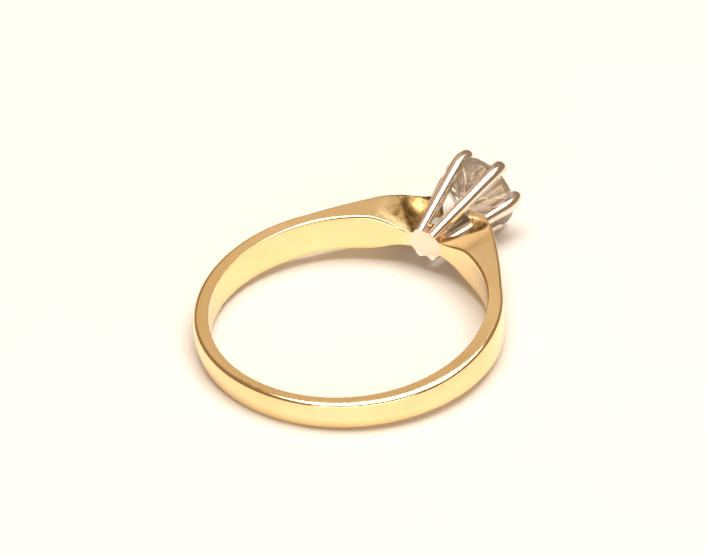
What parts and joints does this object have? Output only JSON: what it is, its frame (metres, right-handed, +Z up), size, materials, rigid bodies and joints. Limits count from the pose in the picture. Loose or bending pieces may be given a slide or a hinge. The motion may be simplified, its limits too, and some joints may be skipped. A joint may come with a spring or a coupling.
{
  "type": "solitaire engagement ring",
  "caption": "Solitaire ring lying on its side: tapered yellow gold band, pinched shoulders, and a white metal claw head that holds a round brilliant-cut stone.",
  "frame": {"origin": "on the surface that the ring lies on, under the middle of its bounding box", "axes": "+X from the back of the band towards the head, +Y towards the left shoulder as seen from the band's back, +Z up from the surface. The ring rests on its two lower claws and the back edge of the band, so the finger hole's axis leans back from +Z by 3.92 degrees."},
  "size_m": [0.024, 0.0182, 0.0049],
  "materials": {
    "yellow_gold": "polished, with satin side faces on the shoulders",
    "white_gold": "polished",
    "stone": "facetted and polished"
  },
  "bodies": {
    "root": {"shank": "yellow_gold", "head_base": "white_gold", "claw_left": "white_gold", "claw_upper_left": "white_gold", "claw_upper_right": "white_gold", "claw_right": "white_gold", "claw_lower_right": "white_gold", "claw_lower_left": "white_gold", "diamond": "stone"}
  },
  "joints": []
}
